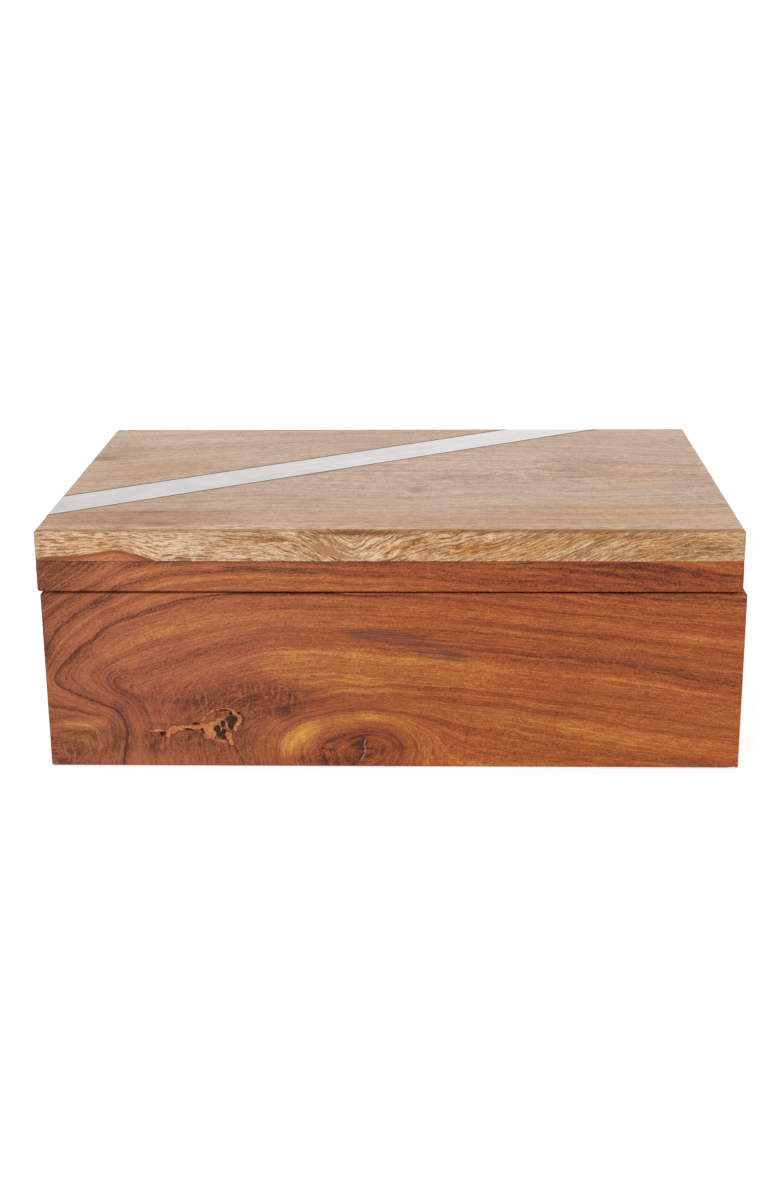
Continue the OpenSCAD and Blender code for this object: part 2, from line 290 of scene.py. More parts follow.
HOLE_BLOBS = [
    (-71.0, 22.2, 2.6, 1.5, -5), (-71.6, 19.8, 1.4, 2.3, 0), (-71.4, 25.1, 0.5, 0.9, 0),
    (-75.2, 20.1, 0.9, 1.6, -8), (-77.7, 17.7, 1.4, 1.6, 0), (-76.3, 14.9, 1.6, 1.5, 15),
    (-75.0, 13.5, 1.1, 1.0, 0), (-74.9, 16.6, 0.9, 1.0, 0), (-102.6, 15.0, 0.8, 1.2, 8),
    (-101.3, 15.5, 0.9, 0.7, 0), (-86.9, 19.9, 1.8, 0.55, -4), (-90.4, 17.4, 2.0, 0.35, -8),
    (-84.4, 17.4, 0.6, 0.4, 0), (-83.8, 16.0, 0.3, 1.2, 25), (-74.9, 26.5, 2.9, 0.3, 4),
    (-68.1, 25.0, 0.7, 0.4, -45),
]
HOLE_DEPTH = 1.3
INCLUSION_HALF_DEPTH = 4
INCLUSION_X = (-108.5, -65.5)
INCLUSION_Z = (9.5, 28.5)

# Soft patches: (x, z, half width, half height, turn, change of tone, change towards gold, flecks)
FRONT_PATCHES = [
    (-44, 11, 11, 7, 10, .20, 1.1, 0), (-37, 17, 8, 5, 32, .28, 1.2, 0),
    (-22, 19.5, 11, 3.5, 15, .10, .5, 0), (-11, 24, 9, 3, -4, .20, 1.0, 0),
    (2, 23, 14, 4, -12, .05, .35, 0), (-47, 50, 17, 6, 6, .18, .7, 0), (-22, 44, 34, 12, 0, .14, .3, 0),
    (-14, 37, 28, 6, -2, .10, .5, 0), (28, 46, 34, 12, -4, .12, .5, 0), (-96, 66, 26, 7, 20, .05, .4, 0),
    (-106, 77, 14, 4, 20, .05, .35, 0), (58, 20, 60, 7, -8, .05, .3, 0),
    (108, 15, 46, 11, -6, .10, .55, 0), (128, 58, 34, 6, -5, .06, .3, 0),
    (-60, 33, 32, 11, -4, -.24, -.5, 1.0), (-98, 32, 24, 11, 4, -.22, -.4, .7),
    (-108, 11, 26, 8, 0, -.20, -.2, .8), (-138, 10, 17, 9, 4, -.16, .25, .9),
    (-152, 52, 6, 14, 0, -.22, -.1, 0), (-128, 40, 26, 14, -40, -.19, -.1, 0),
    (-119, 18, 7, 20, 0, -.22, -.2, 0), (-84, 16, 34, 16, 0, -.18, -.1, .6),
    (-40, 15, 28, 14, 0, .04, .0, .0), (-137, 21, 17, 2.0, 2, .22, .2, 0),
    (-132, 13, 22, 12, 0, .02, .75, .3), (-138, 19.3, 15, 1.4, 3, .26, .4, 0),
    (-137, 15.6, 14, 2.4, 3, -.16, .4, .1), (-96, 31, 14, 1.8, 0, -.18, -.2, .1),
    (-104, 20, 10, 1.4, -4, -.16, -.2, 0), (-25, 55, 40, 24, 0, .05, .05, 0),
    (-75, 68, 34, 12, 8, .05, .1, 0), (78, 38, 22, 13, 0, -.03, -.1, .35),
    (-15, 17.2, 18, 2.5, -6, -.06, -.4, 0), (2, 12, 5, 7, 0, -.06, -.2, 0),
    (-48, 25.5, 8, 3.5, 0, -.20, -.2, 0), (-32, 3, 24, 3.5, 0, -.16, -.1, 0),
    (-15.5, 12.5, 6.5, 4.0, 18, -.30, -.1, 0), (-14, 7, 3.5, 7, -8, -.18, -.1, 0),
    (-5, 8, 6, 3, 0, -.12, 0, 0), (-25, 13.4, 8, 1.6, 20, -.22, -.2, 0),
    (-66.5, 22.5, 1.6, 4, 0, -.30, -.3, 0), (-88.3, 14.8, 4, 2.8, 0, -.34, -.2, 0),
    (138, 42, 26, 5, -8, -.05, -.1, 0), (-25, 88, 60, 6, 0, .06, .1, 0),
    (100, 90, 60, 8, 0, -.14, -.4, 0), (-112, 88, 44, 7, 0, .19, .3, 0), (20, 88, 60, 6, 0, .01, -.1, 0),
    (0, 88, 190, 9, 0, .05, .1, 0), (-76, 92.4, 7, 0.9, 3, .40, .1, 0), (100, 70, 60, 12, -5, 0, -.15, 0),
    (-140, 34, 14, 5, -14, -.06, -.1, .5), (45, 60, 70, 16, -4, -.03, -.15, 0),
]
# The grey-brown smear right of the middle
SMEAR = [(-6, 61.5, 17, 3.6, -6), (12, 57, 19, 5.0, -20), (25, 52.5, 9, 2.6, -14)]
# Small dark spots
DARK_SPOTS = [(111, 35.2, 1.7, 1.2, -12), (90.5, 51, 1.9, 1.6, -12), (-34.6, 42.8, 2.0, 0.9, -12),
              (-28, 40.6, 3.0, 0.4, -12)]
# Thin cracks, each a chain of points with its half width
LIGHT_CRACK = ([(-11.9, 13.2), (-13.0, 10.6), (-12.0, 8.8), (-12.4, 6.6), (-14.6, 2.6)], 0.33)
DARK_CRACKS = [
    ([(-13.2, 14.4), (-12.6, 12.0), (-13.6, 9.6), (-13.1, 7.4), (-15.4, 3.0)], 0.38),
    ([(-31.6, 9.0), (-29.0, 8.3), (-25.6, 7.9)], 0.36),
    ([(-71.2, 11.0), (-69.6, 8.2), (-67.6, 4.6), (-66.4, 1.0)], 0.28),
]


def ellipse_radius(p, x, z, rx, rz, turn):
    """How far out each point is, in the ellipse's own radii: under 1 is inside."""
    c, s = math.cos(math.radians(turn)), math.sin(math.radians(turn))
    dx, dz = p[:, 0] - x, p[:, 2] - z
    return np.hypot((c * dx + s * dz) / rx, (-s * dx + c * dz) / rz)


def blob_distance(p, blobs):
    """The distance to the nearest blob, in its own radii, growing with the depth into the board."""
    depth = (p[:, 1] - FRONT_Y) / INCLUSION_HALF_DEPTH
    return np.minimum(9.0, np.min([np.hypot(ellipse_radius(p, *blob), depth) for blob in blobs], axis=0))


def front_paint(p):
    """Per point: (change of tone, change towards gold, flecks)."""
    paint = np.zeros((len(p), 3))
    for *ellipse, tone, gold, flecks in FRONT_PATCHES:
        share = smooth(1.15, 0.25, ellipse_radius(p, *ellipse))
        paint += share[:, None] * np.array([tone, gold, flecks])
    return paint


def front_marks(p):
    """Per point: (distance to the filler, distance to a hole, share of smear)."""
    smear = np.max([smooth(1.1, 0.6, ellipse_radius(p, *e)) for e in SMEAR], axis=0)
    return np.stack([blob_distance(p, FILLER_BLOBS), blob_distance(p, HOLE_BLOBS), smear], 1)


# ---- Meshes ----

def cut_along(bm, axis, places, faces=None):
    """Cuts the mesh, or the faces that the test picks, by planes across one axis."""
    for place in places:
        at = Vector()
        at[axis] = place
        across = Vector()
        across[axis] = 1
        if faces is None:
            geometry = bm.verts[:] + bm.edges[:] + bm.faces[:]
        else:
            picked = [f for f in bm.faces if faces(f.calc_center_median())]
            edges = {e for f in picked for e in f.edges}
            verts = {v for f in picked for v in f.verts}
            geometry = picked + list(edges) + list(verts)
        bmesh.ops.bisect_plane(bm, geom=geometry, dist=1e-6, plane_co=at, plane_no=across)


def dense_copy(node, pitch):
    """A bmesh with the CAD node's exact shape, cut into cells of about pitch millimetres."""
    bm = bmesh.new()
    bm.from_mesh(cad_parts[node].data)
    bmesh.ops.remove_doubles(bm, verts=bm.verts, dist=1e-7)
    bmesh.ops.dissolve_limit(bm, angle_limit=0.001, verts=bm.verts, edges=bm.edges)
    low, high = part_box(node)
    for axis in range(3):
        span = high[axis] - low[axis]
        cells = max(1, int(span / (pitch * MM)))
        cut_along(bm, axis, [low[axis] + span * i / cells for i in range(1, cells)])
    return bm


def points_of(bm):
    return np.array([v.co for v in bm.verts]) / MM


def worn_arrises(bm, seed, amount=0.22):
    """Sands the rounded outer edges a little unevenly, always inwards."""
    bm.normal_update()
    for v in bm.verts:
        n = v.normal
        rounded = max(abs(n.x), abs(n.y), abs(n.z)) < 0.985
        outside = abs(v.co.y) > 0.1 or abs(v.co.x - LID_MIDDLE_X * MM) > 0.15
        if rounded and outside:
            wear = 0.5 + 0.5 * noise.noise(v.co * 55 + Vector((seed, 0, 0)))
            v.co -= n * (amount * wear * MM)


def finish_mesh(bm, name):
    mesh = bpy.data.meshes.new(name)
    bmesh.ops.recalc_face_normals(bm, faces=bm.faces)
    bm.to_mesh(mesh)
    bm.free()
    mesh.shade_smooth()
    mesh.set_sharp_from_angle(angle=SHARP_ANGLE)
    piece = bpy.data.objects.new(name, mesh)
    bpy.context.scene.collection.objects.link(piece)
    weighted = piece.modifiers.new("even_shading", "WEIGHTED_NORMAL")
    weighted.keep_sharp = True
    return piece


def write_attribute(piece, name, values):
    kind = "FLOAT_VECTOR" if values.ndim == 2 else "FLOAT"
    attribute = piece.data.attributes.new(name, kind, "POINT")
    attribute.data.foreach_set("vector" if values.ndim == 2 else "value", values.astype(np.float32).ravel())


def board(node, pitch, grain, material, body, shape=None):
    """A wooden piece in place of a CAD node: the same shape, with grain and worn edges."""
    bm = dense_copy(node, pitch)
    if shape:
        shape(bm)
    worn_arrises(bm, seed=len(node))
    piece = finish_mesh(bm, node + "_wood")
    points = np.array([v.co for v in piece.data.vertices]) / MM
    write_attribute(piece, "grain", grain(points))
    piece.data.materials.append(material)
    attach(piece, body)
    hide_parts(node)
    return piece, points


# ---- Node graphs ----

class Graph:
    """Builds one material's node tree. Values are sockets or plain numbers."""

    def __init__(self, name):
        self.material = bpy.data.materials.new(name)
        self.material.use_nodes = True
        self.tree = self.material.node_tree
        self.tree.nodes.clear()

    def node(self, kind, inputs=(), **settings):
        made = self.tree.nodes.new(kind)
        for key, value in settings.items():
            setattr(made, key, value)
        for key, value in dict(inputs).items():
            self.put(made.inputs[key], value)
        return made

    def put(self, socket, value):
        if isinstance(value, bpy.types.NodeSocket):
            self.tree.links.new(value, socket)
        elif isinstance(value, (tuple, list)) and len(value) == 3 and socket.type == "RGBA":
            socket.default_value = (*value, 1)
        else:
            socket.default_value = value

    def math(self, operation, a, b=0.0):
        made = self.node("ShaderNodeMath", operation=operation)
        self.put(made.inputs[0], a)
        self.put(made.inputs[1], b)
        return made.outputs[0]

    def total(self, *values):
        result = values[0]
        for value in values[1:]:
            result = self.math("ADD", result, value)
        return result

    def times(self, a, b):
        return self.math("MULTIPLY", a, b)

    def vector_math(self, operation, a, b=(0.0, 0.0, 0.0)):
        made = self.node("ShaderNodeVectorMath", operation=operation)
        self.put(made.inputs[0], a)
        self.put(made.inputs[1], b)
        return made.outputs["Value" if operation == "LENGTH" else 0]

    def parts(self, vector):
        return self.node("ShaderNodeSeparateXYZ", {0: vector}).outputs

    def joined(self, x, y, z):
        return self.node("ShaderNodeCombineXYZ", {0: x, 1: y, 2: z}).outputs[0]

    def noise(self, vector, scale=1.0, detail=2.0, roughness=0.5, distortion=0.0):
        """Noise from about -0.5 to 0.5."""
        made = self.node("ShaderNodeTexNoise", {
            "Vector": vector, "Scale": scale, "Detail": detail, "Roughness": roughness,
            "Distortion": distortion})
        return self.math("SUBTRACT", made.outputs["Fac"], 0.5)

    def grade(self, value, low, high, to_low=0.0, to_high=1.0):
        """Maps low..high smoothly to to_low..to_high, and holds it beyond."""
        made = self.node("ShaderNodeMapRange", interpolation_type="SMOOTHSTEP")
        for key, number in zip(range(5), (value, low, high, to_low, to_high)):
            self.put(made.inputs[key], number)
        return made.outputs[0]

    def ramp(self, value, stops):
        """stops is [(place, colour or grey)]."""
        made = self.node("ShaderNodeValToRGB", {0: value})
        elements = made.color_ramp.elements
        while len(elements) < len(stops):
            elements.new(0.5)
        for element, (place, _) in zip(elements, stops):
            element.position = place
        for element, (place, colour) in zip(elements, stops):
            element.position = place
            element.color = (*colour, 1) if isinstance(colour, tuple) else (colour, colour, colour, 1)
        return made.outputs[0]

    def mix(self, share, a, b):
        made = self.node("ShaderNodeMix", data_type="RGBA")
        self.put(made.inputs[0], share)
        self.put(made.inputs[6], a)
        self.put(made.inputs[7], b)
        return made.outputs[2]

    def position(self):
        """The object's own coordinates, in millimetres."""
        metres = self.node("ShaderNodeTexCoord").outputs["Object"]
        return self.vector_math("MULTIPLY", metres, (1 / MM, 1 / MM, 1 / MM))

    def attribute(self, name, output="Vector"):
        return self.node("ShaderNodeAttribute", attribute_name=name).outputs[output]

    def stretched(self, grain, across, along, up=None):
        """Grain coordinates scaled for noise that is drawn out along the growth lines."""
        return self.vector_math("MULTIPLY", grain, (across, along, along * 2 if up is None else up))

    def finish(self, colour, roughness, bump=None, bump_mm=0.05, **constants):
        shader = self.node("ShaderNodeBsdfPrincipled", {"Base Color": colour, "Roughness": roughness})
        for key, value in constants.items():
            shader.inputs[key.replace("_", " ")].default_value = value
        if bump is not None:
            made = self.node("ShaderNodeBump", {"Strength": 1.0, "Distance": bump_mm * MM, "Height": bump})
            self.put(shader.inputs["Normal"], made.outputs[0])
        output = self.node("ShaderNodeOutputMaterial")
        self.tree.links.new(shader.outputs[0], output.inputs[0])
        return self.material


# ---- Colours ----
# A list goes from dark to light: (tone, colour).

HEARTWOOD = [
    (0.00, (0.050, 0.012, 0.004)), (0.12, (0.100, 0.021, 0.006)), (0.26, (0.175, 0.036, 0.009)),
    (0.40, (0.240, 0.050, 0.011)), (0.52, (0.285, 0.062, 0.013)), (0.64, (0.325, 0.077, 0.016)),
    (0.76, (0.362, 0.094, 0.019)), (0.88, (0.410, 0.122, 0.026)), (1.00, (0.480, 0.175, 0.044)),
]
SAPWOOD = [
    (0.00, (0.110, 0.032, 0.011)), (0.18, (0.205, 0.075, 0.026)), (0.38, (0.305, 0.145, 0.058)),
    (0.60, (0.405, 0.235, 0.118)), (0.80, (0.500, 0.332, 0.192)), (1.00, (0.610, 0.450, 0.300)),
]
LIDWOOD = [
    (0.00, (0.170, 0.070, 0.030)), (0.25, (0.290, 0.152, 0.078)), (0.50, (0.390, 0.250, 0.157)),
    (0.75, (0.460, 0.318, 0.218)), (1.00, (0.550, 0.410, 0.300)),
]
# A pale pink-grey mixed into the wood's colour as painted sheen: it stands in for white light reflected off
# the finish
PAINTED_SHEEN_TINT = (0.300, 0.165, 0.120)
PORE = (0.050, 0.014, 0.008)
LID_PORE = (0.110, 0.042, 0.020)
PALE_PORE = (0.14, 0.07, 0.035)
FLECK = (0.400, 0.132, 0.046)
SMEAR_BROWN = (0.110, 0.038, 0.022)
SPOT_BROWN = (0.10, 0.030, 0.016)
CRACK_BROWN = (0.040, 0.014, 0.008)
CRACK_TAN = (0.40, 0.22, 0.13)
BARK_RIM = (0.085, 0.022, 0.011)
BARK_FILLER = [(0.30, (0.200, 0.050, 0.015)), (0.46, (0.400, 0.125, 0.036)), (0.70, (0.520, 0.225, 0.095))]
BARK_HOLE = [(0.35, (0.010, 0.007, 0.006)), (0.75, (0.085, 0.042, 0.020))]
SAP_LINE = (0.165, 0.044, 0.018)
STRIP_STAIN = (0.125, 0.046, 0.018)
ARRIS_BROWN = (0.150, 0.066, 0.030)
SHORT_STROKE = (0.195, 0.070, 0.022)
LONG_STROKE = (0.170, 0.056, 0.018)
EDGE_FILLER_BROWN = (0.330, 0.165, 0.060)
RESIN = [(0.3, (0.050, 0.021, 0.010)), (0.7, (0.125, 0.056, 0.027))]
METAL = [(0.0, (0.485, 0.480, 0.478)), (0.5, (0.62, 0.610, 0.594)), (1.0, (0.755, 0.740, 0.710))]
BRASS = [(0.25, (0.42, 0.26, 0.09)), (0.5, (0.66, 0.45, 0.18)), (0.8, (0.78, 0.58, 0.28))]
FELT = [(0.2, (0.010, 0.020, 0.016)), (0.5, (0.026, 0.048, 0.038)), (0.85, (0.060, 0.095, 0.078))]

# ---- Wood ----
# Tone of the front boards across the rings, on the left and on the right: (place across the rings, tone)
LEFT_TONES = [
    (-26, .34), (-18.5, .44), (-17, .24), (-15, .52), (-9, .64), (-3, .60), (0, .38), (7, .50), (13, .42),
    (22, .50), (34, .64), (39, .56), (41, .34), (43, .52), (49, .60), (53, .76), (57, .58), (62.3, .52),
    (63.6, .22), (64.4, .12), (65.0, .54), (67, .68), (69.3, .46), (71, .60), (73, .36), (74.4, .18),
    (76, .54), (77.6, .40), (79, .16), (81, .30), (83, .56), (86.4, .20),
]
RIGHT_TONES = [
    (-26, .36), (-18.5, .48), (-17, .26), (-15, .52), (-8.5, .60), (-5, .62), (0, .50), (4, .61),
    (10, .65), (13, .47), (15, .56), (21, .54), (28, .60), (34, .58), (38, .54), (41.5, .42), (44, .56),
    (47.5, .44), (50, .60), (52.6, .39), (54.2, .61), (57, .64), (60, .57), (62, .53), (64.4, .39),
    (66, .57), (69.3, .38), (71, .55), (74.5, .43), (77, .52), (80, .42), (83, .53),
]
TONE_LOW, TONE_HIGH = -26.0, 94.0
CORNER_TONE = (0.46, 0.46, 0.46)


def tone_ramp(g, across, tones):
    place = g.math("DIVIDE", g.math("SUBTRACT", across, TONE_LOW), TONE_HIGH - TONE_LOW)
    return g.ramp(place, [((u - TONE_LOW) / (TONE_HIGH - TONE_LOW), t) for u, t in tones])


def node_ellipse(g, p, x, z, rx, rz, turn):
    """The same radius as ellipse_radius, at each shaded point."""
    local = g.node("ShaderNodeMapping", {
        "Vector": p, "Location": (x, 0, z), "Rotation": (0, -math.radians(turn), 0),
        "Scale": (rx, 1e6, rz)}, vector_type="TEXTURE").outputs[0]
    return g.vector_math("LENGTH", local)


def chain(g, p, points, half_width):
    """The distance to a thin crack, in its own half widths."""
    nearest = None
    for (x0, z0), (x1, z1) in zip(points, points[1:]):
        length = math.hypot(x1 - x0, z1 - z0)
        turn = math.degrees(math.atan2(z1 - z0, x1 - x0))
        away = node_ellipse(g, p, (x0 + x1) / 2, (z0 + z1) / 2, length * 0.6, half_width, turn)
        nearest = away if nearest is None else g.math("MINIMUM", nearest, away)
    return nearest


def fibres(g, grain):
    """Noise at four scales along the grain: ring lines, streaks, fibres and stipple. Also the open pores."""
    lines = g.noise(g.stretched(grain, 0.55, 0.003), detail=3, roughness=0.65)
    streak = g.noise(g.stretched(grain, 1.25, 0.014), detail=3, roughness=0.65)
    fibre = g.noise(g.stretched(grain, 1.9, 0.16), detail=2, roughness=0.6)
    stipple = g.noise(g.stretched(grain, 2.6, 1.0, 2.6), detail=2, roughness=0.7)
    pores = g.grade(g.noise(g.stretched(grain, 3.2, 0.45, 1.2), detail=1), 0.05, 0.24)
    return lines, streak, fibre, stipple, pores


def wavy(g, grain, p, slow=1.6):
    """The place across the rings, with the small wandering of real growth lines."""
    fine = g.noise(g.stretched(grain, 1.5, 0.02), detail=3, roughness=0.6)
    return g.total(g.parts(grain)[0], g.times(g.noise(p, 0.06, 3), slow), g.times(g.noise(p, 0.3, 3), 0.9),
                   g.times(fine, 1.2))


def scaled(g, value, *factors):
    """A colour or a place, with each of its three parts multiplied."""
    return g.vector_math("MULTIPLY", value, g.joined(*factors))


def golden(g, colour, gold):
    """Turns a wood colour towards gold, or towards red where gold is negative."""
    return scaled(g, colour, g.total(1.0, g.times(gold, 0.08)), g.total(1.0, g.times(gold, 0.36)), 1.0)


def oiled(g, colour, roughness, streak, fibre, pores):
    """Finishes a wood with a thin coat of oil. Its pores are open, dull and a little sunk."""
    bump = g.math("SUBTRACT", g.times(fibre, 0.5), pores)
    roughness = g.total(roughness, g.times(streak, 0.12), g.times(pores, 0.15))
    return g.finish(colour, roughness, bump, 0.03,
                    Coat_Weight=0.04, Coat_Roughness=0.2, Specular_IOR_Level=0.15)


def front_wood(name, marks):
    """The red-brown heartwood of the front wall and the rail above it, which were one board."""
    g = Graph(name)
    p = g.position()
    grain = g.attribute("grain")
    x, _, z = g.parts(p)
    change, gold, flecky = g.parts(g.attribute("paint"))
    ring = wavy(g, grain, p)
    to_right = g.grade(x, -45, 60)
    band = g.mix(to_right, tone_ramp(g, ring, LEFT_TONES), tone_ramp(g, ring, RIGHT_TONES))
    corner = g.times(g.grade(x, -118, -130), g.grade(z, 30, 18))
    band = g.mix(g.times(corner, 0.75), band, CORNER_TONE)
    lines, streak, fibre, stipple, pores = fibres(g, grain)
    clouds = g.noise(scaled(g, p, 0.05, 0.05, 0.12), detail=3)
    lined = g.grade(flecky, 0.0, 0.8, 1.0, 0.15)
    mottled = g.noise(scaled(g, p, 0.10, 0.1, 0.22), detail=3)
    mottled = g.times(mottled, g.times(flecky, 0.55))
    tone = g.total(band, change, mottled, g.times(g.times(lines, 0.75), lined),
                   g.times(g.times(streak, 0.85), lined), g.times(fibre, 0.85), g.times(stipple, 1.6),
                   g.times(clouds, 0.15))
    glint = g.noise(g.stretched(grain, 0.40, 0.012), detail=3)
    gold_streaks = g.grade(g.noise(g.stretched(grain, 0.5, 0.010), detail=3), -0.12, 0.12, 0.3, 1.5)
    blotches = g.grade(g.noise(p, 0.17, 4, 0.6), -0.14, 0.14, 0.5, 1.35)
    gold = g.total(g.times(g.times(gold, gold_streaks), blotches), g.times(glint, 2.2), g.times(clouds, 0.8))
    colour = golden(g, g.ramp(tone, HEARTWOOD), gold)
    # Painted sheen: a veil of reflected light over the front, strongest on the left and on the lighter tones
    painted_sheen_share = g.times(g.grade(x, 40, -120, 0.0, 0.19), g.grade(tone, 0.05, 0.5, 0.25, 1.0))
    colour = g.mix(painted_sheen_share, colour, PAINTED_SHEEN_TINT)
    flecks = g.grade(g.noise(scaled(g, p, 0.75, 0.1, 0.2), detail=1), 0.00, 0.22)
    colour = g.mix(g.times(flecks, g.times(flecky, 0.46)), colour, FLECK)
    colour = g.mix(g.times(pores, 0.42), colour, PORE)
    if marks:
        colour = front_wall_marks(g, p, colour)
    return oiled(g, colour, 0.40, streak, fibre, pores)


def front_wall_marks(g, p, colour):
    """Lays the smear, the cracks and the bark inclusion over the front wall's colour."""
    filler, hole, smear = g.parts(g.attribute("marks"))
    strokes = g.noise(g.stretched(g.attribute("grain"), 1.3, 0.03, 0.06), detail=4, roughness=0.65)
    colour = g.mix(g.times(smear, g.grade(strokes, -0.06, 0.07, 0.28, 0.95)), colour, SMEAR_BROWN)
    for ellipse in DARK_SPOTS:
        spot = g.grade(node_ellipse(g, p, *ellipse), 1.1, 0.3, 0.0, 0.55)
        colour = g.mix(spot, colour, SPOT_BROWN)
    ragged = g.total(g.times(g.noise(p, 0.6, 3, 0.6), 1.1), g.times(g.noise(p, 2.4, 2), 0.35))
    elsewhere = g.vector_math("ADD", p, (40, 0, 0))
    shaken = g.vector_math("ADD", p, g.joined(g.noise(p, 0.8, 3), 0.0, g.noise(elsewhere, 0.8, 3)))
    for points, half_width in DARK_CRACKS:
        dark = g.grade(chain(g, shaken, points, half_width), 1.5, 0.5, 0.0, 0.85)
        colour = g.mix(dark, colour, CRACK_BROWN)
    light = g.grade(chain(g, shaken, *LIGHT_CRACK), 1.2, 0.4, 0.0, 0.65)
    colour = g.mix(light, colour, CRACK_TAN)
    filler = g.total(filler, ragged)
    hole = g.total(hole, g.times(ragged, 0.8))
    rim = g.times(g.grade(filler, 1.75, 1.05, 0.0, 0.6), g.grade(filler, 9.0, 6.0))
    colour = g.mix(rim, colour, BARK_RIM)
    tint = g.ramp(g.total(0.5, g.noise(p, 0.8, 4, 0.7)), BARK_FILLER)
    colour = g.mix(g.grade(filler, 1.12, 0.92), colour, tint)
    dark_tint = g.ramp(g.total(0.5, g.noise(p, 0.9, 3)), BARK_HOLE)
    return g.mix(g.grade(hole, 1.12, 0.86), colour, dark_tint)


def plain_heartwood(name):
    """The same wood on the walls and rails that the front doesn't show."""
    g = Graph(name)
    p = g.position()
    grain = g.attribute("grain")
    ring = wavy(g, grain, p, 5.0)
    along, up = g.parts(grain)[1:]
    bands = g.joined(g.times(ring, 0.15), g.times(along, 0.003), g.times(up, 0.003))
    bands = g.noise(bands, detail=4, roughness=0.6)
    dark = g.grade(g.noise(g.joined(g.times(ring, 0.30), g.times(along, 0.005), 3.0), detail=2), 0.10, 0.26)
    lines, streak, fibre, stipple, pores = fibres(g, grain)
    clouds = g.noise(p, 0.03, 3)
    tone = g.total(0.56, g.times(bands, 0.9), g.times(dark, -0.32), g.times(lines, 0.5), g.times(streak, 0.7),
                   g.times(fibre, 0.75), g.times(stipple, 0.8), g.times(clouds, 0.3))
    glint = g.noise(g.stretched(grain, 0.30, 0.03), detail=3)
    colour = golden(g, g.ramp(tone, HEARTWOOD), g.total(g.times(glint, 2.6), g.times(clouds, 1.6)))
    # Painted sheen: an even veil of reflected light over the whole of this wood
    colour = g.mix(0.12, colour, PAINTED_SHEEN_TINT)
    colour = g.mix(g.times(pores, 0.42), colour, PORE)
    return oiled(g, colour, 0.40, streak, fibre, pores)


# The lid's board, on top: (x, y, half width, half height, turn, change of tone, change towards orange)
TOP_PATCHES = [
    (-112, -82, 56, 20, 4, -.26, 1.5), (-100, -93, 8, 4, 0, -.30, .8), (-128, -66, 34, 8, 33, -.02, .5),
    (96, -74, 80, 22, 3, .01, 1.4), (20, -88, 90, 12, 0, -.01, .8), (-40, -78, 60, 10, 0, .02, .5),
    (-147, 32, 8, 6, 0, -.35, .9), (-140, 44, 18, 30, 0, -.10, .7), (-118, 10, 40, 22, 30, -.03, 1.3),
    (-96, 76, 40, 5, 10, .18, .0), (-120, 92, 50, 6, 6, .12, .4), (-104, 56, 40, 5, 8, -.06, .1),
    (-60, 30, 40, 9, 30, .04, -.2), (90, 20, 26, 30, 0, -.12, -.1), (84, 5, 9, 5, 0, -.22, -.2),
    (112, -18, 15, 12, 0, .05, .7), (131, 55, 13, 8, 0, .04, .8), (141, -8, 14, 12, 0, -.12, -.1),
    (110, 10, 50, 34, 0, -.06, .6), (108, 66, 40, 8, -4, -.10, .1), (10, -33, 5, 9, 10, -.22, .0),
    (7, -48, 3, 5, 0, -.20, .0), (-34, -51, 7, 3, 8, -.26, -.4), (-16, -30, 4, 3, 0, -.20, .0),
    (-30, -20, 60, 24, 4, .02, -.2), (40, 12, 40, 22, 12, .03, -.3), (36, -58, 30, 5, 0, .04, -.2),
    (-108, -72, 10, 3, 5, -.26, .4),
]
# The pale front edge: (x, z, half width, half height, turn, change of tone, change towards orange)
EDGE_PATCHES = [
    (-28, 100, 10, 2.6, -18, -.14, .2), (61, 105.6, 11, 1.3, 20, -.20, 1.4),
    (70, 103, 30, 4.5, 14, -.04, 1.3), (84, 101, 14, 1.3, 25, -.20, .6), (36, 101, 18, 3.5, 8, -.02, 2.0),
    (-57, 105, 22, 2.2, 0, -.26, .5), (137, 101, 10, 3.2, -8, -.24, .0), (122, 101, 34, 8, 0, -.19, .3),
    (-8, 98, 7, 2.5, 0, .10, -.2), (-140, 103, 20, 3, 0, .06, .2), (-14, 107.6, 24, 1.8, 0, -.50, .6),
    (-88, 101, 22, 4, -5, .10, -.1), (6, 101.5, 16, 3.0, 10, -.12, 1.3), (-128, 100, 26, 4, 0, .0, .9),
    (-44, 98.5, 12, 2.4, 0, .08, -.3), (104, 106, 22, 1.6, 4, -.20, .6), (-30, 104, 16, 3, -10, -.12, .2),
    (-38, 101, 42, 9, 0, -.08, .1), (70, 108.2, 90, 1.0, 0, -.24, .5),
]
# A golden-brown filler patch in the same edge
EDGE_FILLER = (-27.5, 99.6, 9.0, 1.7, -19)
# Long dark strokes in the pale edge, each a chain of points with its half width
EDGE_STROKES = [
    ([(49, 102.2), (57, 105), (67, 108.2)], 0.22),
    ([(69, 95.5), (76, 98.4), (85, 102.6), (95, 106.6)], 0.26),
    ([(80, 99.4), (90, 103), (104, 107.6)], 0.20), ([(2, 96), (12, 99.4), (24, 102.2)], 0.20),
    ([(-34, 107.4), (-20, 107.9), (2, 107.6)], 0.50),
]


def lid_paint(p):
    """Per point of the lid's board: (change of tone, change towards orange, share of the front edge)."""
    on_edge = edge_share(p[:, 1])
    flat = p[:, [0, 2, 1]]
    paint = np.zeros((len(p), 3))
    for patches, points, share in ((TOP_PATCHES, flat, 1 - on_edge), (EDGE_PATCHES, p, on_edge)):
        for *ellipse, tone, orange in patches:
            inside = smooth(1.15, 0.2, ellipse_radius(points, *ellipse)) * share
            paint[:, 0] += inside * tone
            paint[:, 1] += inside * orange
    paint[:, 2] = on_edge
    return paint


# Where the inlaid strip lies in the lid, as in the part's source
INLAY_ANGLE = math.radians(34.8)
INLAY_OFFSET = 36.4
INLAY_HALF_WIDTH = 13.0
# The stain along the strip starts inside the filler's line, and is darkest at this x
STAIN_START = INLAY_HALF_WIDTH + 0.55
BURNT_X = -38


